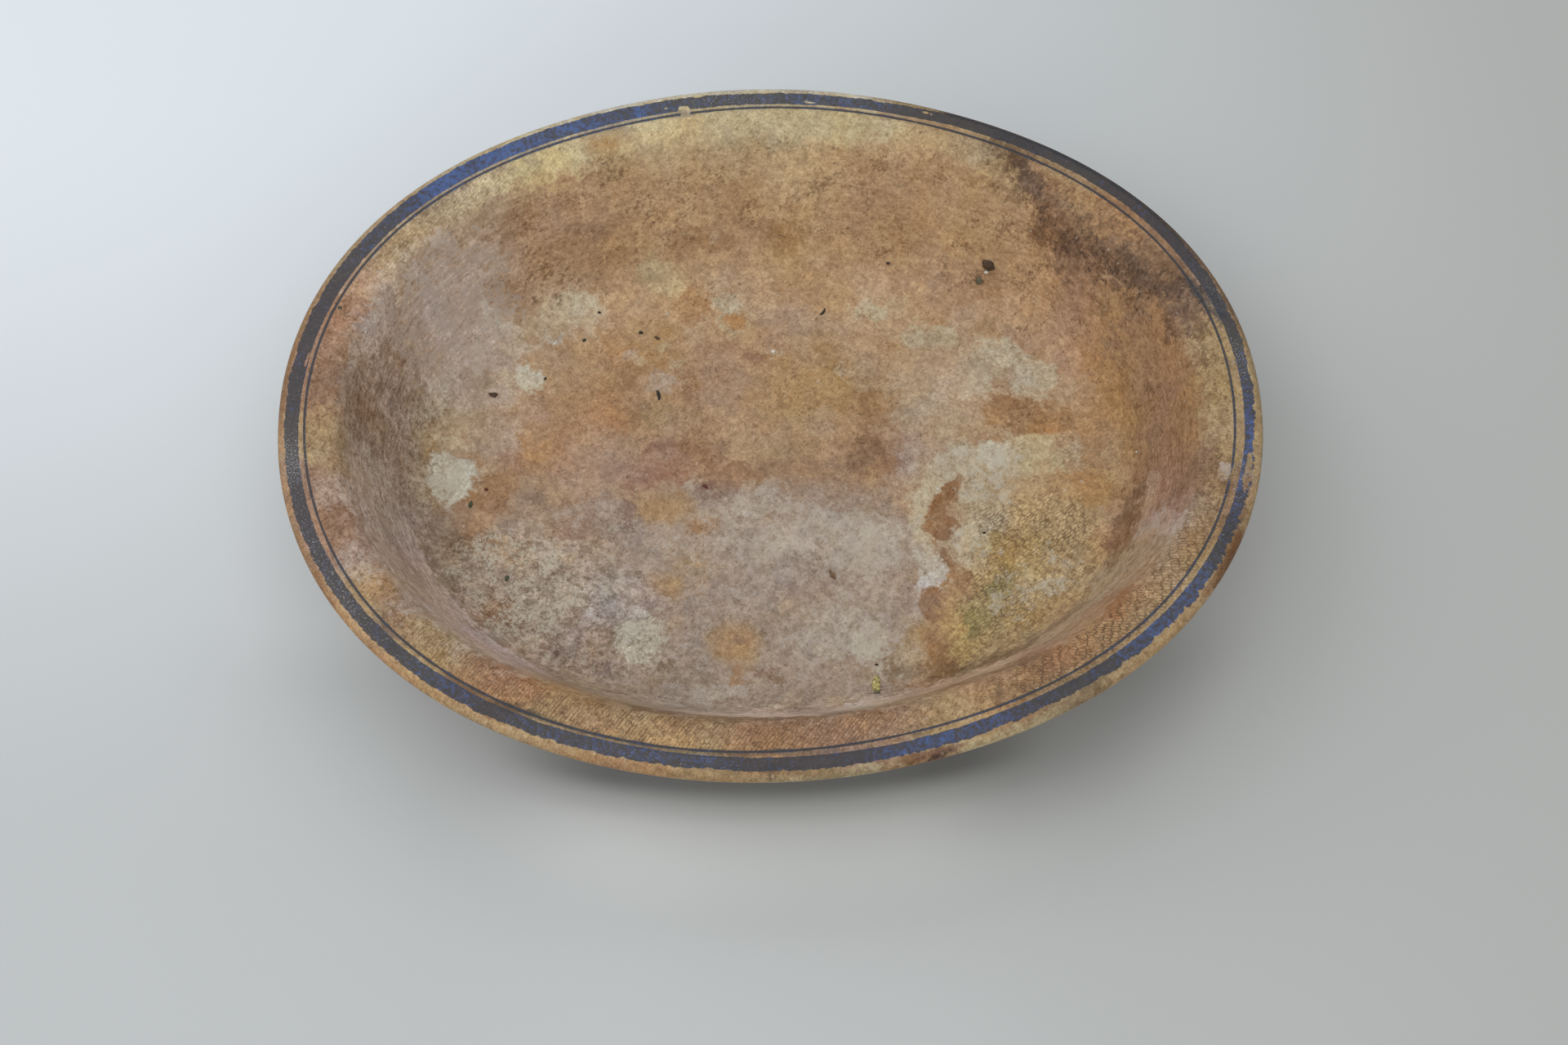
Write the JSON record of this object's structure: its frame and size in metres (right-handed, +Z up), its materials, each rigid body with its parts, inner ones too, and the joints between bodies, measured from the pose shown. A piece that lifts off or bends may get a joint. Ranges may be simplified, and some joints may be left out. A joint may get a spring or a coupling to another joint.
{
  "type": "oval dish",
  "caption": "Deep oval ceramic dish with a flat flange, a rounded lip painted with a cobalt band and a fine line, crazed stained glaze and a low oval foot.",
  "frame": {"origin": "on the ground, under the middle of the foot", "axes": "+X along the dish's long axis, +Y along its width towards the back, +Z up out of the well"},
  "size_m": [0.227, 0.177, 0.0421],
  "materials": {
    "clay": "fired clay body, cream, under the glaze",
    "foot_clay": "bare fired clay tread, dirty cream",
    "stained_glaze": "crazed, yellowed and heavily stained glaze, satin",
    "outer_glaze": "crazed, yellowed glaze, satin",
    "cobalt": "worn cobalt blue to grey-black paint under glaze"
  },
  "bodies": {
    "root": {"dish_body": "clay", "foot_ring": "foot_clay", "glaze_upper": "stained_glaze", "glaze_outer": "outer_glaze", "glaze_base": "outer_glaze", "rim_band": "cobalt", "rim_line": "cobalt"}
  },
  "joints": []
}
